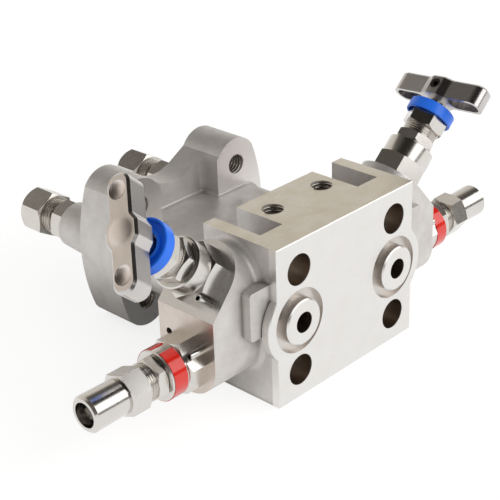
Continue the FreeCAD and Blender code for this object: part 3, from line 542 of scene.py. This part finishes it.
headFit = {
    "bonnet": {"rows": ((-13, -13, 1), (0, 0, 1), (10, 8.4, 1), (10.4, 8.8, 0.97), (17.59, 15.79, 0.97),
                        (17.61, 15.81, 0.943), (27.2, 27.2, 0.943))},
    "lock_nut": {"rows": ((17.9, 16.1, 0.865), (22.2, 20.4, 0.865))},
    "isolate_gland_adjuster": {"rows": ((24.2, 24.0, 0.95), (31, 31, 0.95))},
    "dust_cap": {"rows": ((29, 29.6, 0.955), (34.4, 34.2, 0.955))},
    "vent_shroud": {"rows": ((24.2, 24.0, 0.95), (34.0, 32.7, 0.95), (34.2, 32.9, 0.986),
                             (49.4, 47.9, 0.986))},
    "vent_label_band": {"rows": ((10.7, 9.2, 0.97), (17.0, 15.2, 0.97))},
    "t_bar": {"rows": ((37.5, 38.0, 1), (47, 46.6, 1)),
              "arms": {"left": 35.5, "right": -84.5},     # where the arms point in the solid, in degrees
              "length": 0.917, "width": 0.894,
              "face": 47.0,                               # height of the outer face in the solid
              "faceLeast": 0.75,                          # a face that leans more than this is a side
              "crown": {"at": 0, "radius": 5.38, "deepest": 1.42, "depth": -0.5},
              "dimples": {"at": 17.0, "radius": 3.88, "deepest": 2.42, "depth": 0.6}},
}
headTurns = {                # degrees about the valve axis, from the solid
    "isolate_bonnet": {"left": 0, "right": 32.6},
    "isolate_lock_nut": {"left": -4.8, "right": 27.0},
    "isolate_gland_adjuster": {"left": 15.1, "right": -0.8},
    "vent_bonnet": {"left": 0.7, "right": -0.7},
    "vent_shroud": {"left": -10.3, "right": -24.7},
    "t_bar": {"left": 2.0, "right": -12.7},
    "t_bar_set_screw": {"left": 2.0, "right": -12.7},
}
sharpAngle = 28              # edges past this many degrees stay crisp
mergeDistance = 0.001        # points of the solid this near each other are one


def rowAt(rows, height):
    # Height and width share wanted at one height of the solid
    if height <= rows[0][0]:
        return height + rows[0][1] - rows[0][0], rows[0][2]
    for low, high in zip(rows, rows[1:]):
        if height <= high[0]:
            share = (height - low[0]) / (high[0] - low[0])
            return low[1] + share * (high[1] - low[1]), low[2] + share * (high[2] - low[2])
    return height + rows[-1][1] - rows[-1][0], rows[-1][2]


def reshapeFace(fit, height, long, wide):
    # The middle of the face is crowned, and the dimples at its ends are shallower than in the solid
    for spot in (fit["crown"], fit["dimples"]):
        depth = fit["face"] - height
        if depth < spot["deepest"] and math.hypot(abs(long) - spot["at"], wide) < spot["radius"]:
            return fit["face"] - spot["depth"] * depth
    return height


def copySolid(node):
    work = bmesh.new()
    work.from_mesh(nodes[node].data)
    bmesh.ops.remove_doubles(work, verts=work.verts, dist=mergeDistance * mm)
    return work


def placeCopy(work, node, slotName, bodyName):
    mesh = bpy.data.meshes.new(node + "_fitted")
    work.to_mesh(mesh)
    work.free()
    stored = mesh.attributes.get("custom_normal")
    if stored:               # these belong to the shape before it was changed
        mesh.attributes.remove(stored)
    mesh.shade_smooth()
    mesh.set_sharp_from_angle(angle=math.radians(sharpAngle))
    mesh.materials.clear()
    mesh.materials.append(materialFor(node, slotName))
    piece = bpy.data.objects.new(mesh.name, mesh)
    bpy.context.scene.collection.objects.link(piece)
    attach(piece, bodyName)
    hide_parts(node)
    return mesh


def fitPiece(node, fit, kind, name, turnDegrees, slotName, bodyName):
    # Sets the heights, widths and turn of a copy about the valve axis
    base, outward = valveAxis(kind, sides[name])
    upward = Vector((-outward.z * sides[name], 0, abs(outward.x)))
    across = outward.cross(upward)
    arm = math.radians(fit.get("arms", {}).get(name, 0))
    turn = Matrix.Rotation(math.radians(turnDegrees), 3, outward)
    lengthways = upward * math.cos(arm) + across * math.sin(arm)
    sideways = outward.cross(lengthways)
    work = copySolid(node)
    for vertex in work.verts:
        fromBase = vertex.co / mm - base
        height, long, wide = (fromBase.dot(axis) for axis in (outward, lengthways, sideways))
        if slotName == "cast_handle":
            height = reshapeFace(fit, height, long, wide)
        height, width = rowAt(fit["rows"], height)
        long *= width * fit.get("length", 1)
        wide *= width * fit.get("width", 1)
        vertex.co = (base + outward * height + turn @ (lengthways * long + sideways * wide)) * mm
    mesh = placeCopy(work, node, slotName, bodyName)
    if slotName == "cast_handle":
        marks = mesh.attributes.new(faceMark, "FLOAT", "FACE")
        for polygon in mesh.polygons:
            marks.data[polygon.index].value = float(polygon.normal.dot(outward) > fit["faceLeast"])


def addHeads():
    count = 0
    for part in frame["record"]["subparts"]:
        node, slotName = part["node"], part["material_slot"]
        stem, name = node.rsplit("_", 1)
        onHandle = stem.startswith("t_bar")
        key = "t_bar" if onHandle else stem if stem in headFit else stem.split("_", 1)[-1]
        if key not in headFit:
            continue
        kind = "vent" if stem.startswith("vent") else "isolate"
        bodyName = "isolate_handle_" + name + "_body" if onHandle else "root"
        turnDegrees = headTurns.get(stem, {}).get(name, 0)
        fitPiece(node, headFit[key], kind, name, turnDegrees, slotName, bodyName)
        count += 1
    print(count, "valve head pieces fitted")


addHeads()

# The pin beside the upper right bonnet doesn't stand out of its hole

sunkPin = {
    "node": "bonnet_pins_right",
    "above": 8.0,            # the other pin of this node lies below this height
    "sink": 6.4,
}


def sinkPin(setup):
    outward = valveAxis("isolate", sides["right"])[1]
    work = copySolid(setup["node"])
    for vertex in work.verts:
        if vertex.co.z > setup["above"] * mm:
            vertex.co -= outward * setup["sink"] * mm
    placeCopy(work, setup["node"], "pin_steel", "root")


sinkPin(sunkPin)
print("pin sunk")

# Screw threads: a V ridge wound along each axis, half sunk in the metal that carries it

threads = {
    "bonnetThreads": {
        "radius": 6.6, "pitch": 1.0, "length": 4.0, "ridge": 0.3, "slot": "turned_steel",
        "upTheValves": 20.2},
    "fittingThreads": {
        "radius": 7.14, "pitch": 1.27, "length": 4.6, "ridge": 0.32, "slot": "fitting_steel",
        "starts": ((lineAt, 133.8, 0.0),), "outward": (0, 1, 0)},
    "lobeThreads": {
        "radius": 4.25, "pitch": 1.5, "length": 20.4, "ridge": 0.55, "slot": "cast_body",
        "starts": ((lineAt, 83.3, -20.65), (lineAt, 83.3, 20.65)), "outward": (0, 1, 0)},
    "bracketThreads": {
        "radius": 4.25, "pitch": 1.5, "length": 14.2, "ridge": 0.55, "slot": "cast_body",
        "starts": ((13.65, 24.5, 32.0),), "outward": (0, 0, -1)},
}
pointsPerTurn = 40
flankShare = 0.46            # half the width of a ridge, as a share of the pitch


def threadStarts(setup):
    # Start point and direction of every thread of one size
    starts = []
    for side in sides.values():
        if "upTheValves" in setup:
            for kind in valves:
                base, outward = valveAxis(kind, side)
                starts.append((base + outward * setup["upTheValves"], outward))
        for x, y, z in setup.get("starts", ()):
            starts.append((Vector((side * x, y, z)), Vector(setup["outward"])))
    return starts


def makeThreadTree():
    # A four-sided ridge swept along a spiral, one for each start point
    tree = bpy.data.node_groups.new("screw thread", "GeometryNodeTree")
    tree.interface.new_socket("Geometry", in_out="INPUT", socket_type="NodeSocketGeometry")
    for socketName in ("Radius", "Pitch", "Length", "Ridge"):
        tree.interface.new_socket(socketName, in_out="INPUT", socket_type="NodeSocketFloat")
    tree.interface.new_socket("Points per turn", in_out="INPUT", socket_type="NodeSocketInt")
    tree.interface.new_socket("Material", in_out="INPUT", socket_type="NodeSocketMaterial")
    tree.interface.new_socket("Geometry", in_out="OUTPUT", socket_type="NodeSocketGeometry")
    given = addNode(tree, "NodeGroupInput").outputs
    turns = addNode(tree, "ShaderNodeMath", {0: given["Length"], 1: given["Pitch"]}, operation="DIVIDE")
    winding = addNode(tree, "GeometryNodeCurveSpiral", {
        "Resolution": given["Points per turn"], "Rotations": turns, "Start Radius": given["Radius"],
        "End Radius": given["Radius"], "Height": given["Length"]})
    winding = addNode(tree, "GeometryNodeSetCurveNormal", {"Curve": winding}, mode="Z_UP")
    halfPitch = addNode(tree, "ShaderNodeMath", {0: given["Pitch"], 1: flankShare}, operation="MULTIPLY")
    section = addNode(tree, "GeometryNodeCurvePrimitiveCircle", {"Resolution": 4, "Radius": 1.0})
    shape = addNode(tree, "ShaderNodeCombineXYZ", {0: given["Ridge"], 1: halfPitch, 2: 1.0})
    section = addNode(tree, "GeometryNodeTransform", {"Geometry": section, "Scale": shape})
    ridge = addNode(tree, "GeometryNodeCurveToMesh", {
        "Curve": winding, "Profile Curve": section, "Fill Caps": True})
    outward = addNode(tree, "GeometryNodeInputNamedAttribute", {
        "Name": "outward"}, data_type="FLOAT_VECTOR")
    facing = addNode(tree, "FunctionNodeAlignRotationToVector", {"Vector": outward}, axis="Z")
    placed = addNode(tree, "GeometryNodeInstanceOnPoints", {
        "Points": given["Geometry"], "Instance": ridge, "Rotation": facing})
    solid = addNode(tree, "GeometryNodeRealizeInstances", {"Geometry": placed})
    solid = addNode(tree, "GeometryNodeSetMaterial", {"Geometry": solid, "Material": given["Material"]})
    addNode(tree, "NodeGroupOutput", {"Geometry": solid})
    return tree


def addThreads(tree, name, setup):
    starts = threadStarts(setup)
    mesh = bpy.data.meshes.new(name)
    mesh.from_pydata([start * mm for start, _ in starts], [], [])
    marks = mesh.attributes.new("outward", "FLOAT_VECTOR", "POINT")
    for index, (_, outward) in enumerate(starts):
        marks.data[index].vector = outward
    source = bpy.data.objects.new(name + "Points", mesh)
    bpy.context.scene.collection.objects.link(source)
    modifier = source.modifiers.new("thread", "NODES")
    modifier.node_group = tree
    values = {
        "Radius": setup["radius"] * mm, "Pitch": setup["pitch"] * mm, "Length": setup["length"] * mm,
        "Ridge": setup["ridge"] * mm, "Points per turn": pointsPerTurn,
        "Material": materials["thread_steel"]}
    for item in tree.interface.items_tree:
        if item.in_out == "INPUT" and item.name in values:
            modifier[item.identifier] = values[item.name]
    bpy.context.view_layer.update()
    evaluated = source.evaluated_get(bpy.context.evaluated_depsgraph_get())
    finished = bpy.data.meshes.new_from_object(evaluated)
    source.modifiers.remove(modifier)
    bpy.data.objects.remove(source)
    finished.name = name
    piece = bpy.data.objects.new(name, finished)
    bpy.context.scene.collection.objects.link(piece)
    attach(piece, "root")
    print(name, len(finished.polygons), "faces")


threadTree = makeThreadTree()
for threadName, threadSetup in threads.items():
    addThreads(threadTree, threadName, threadSetup)
print("threads cut")
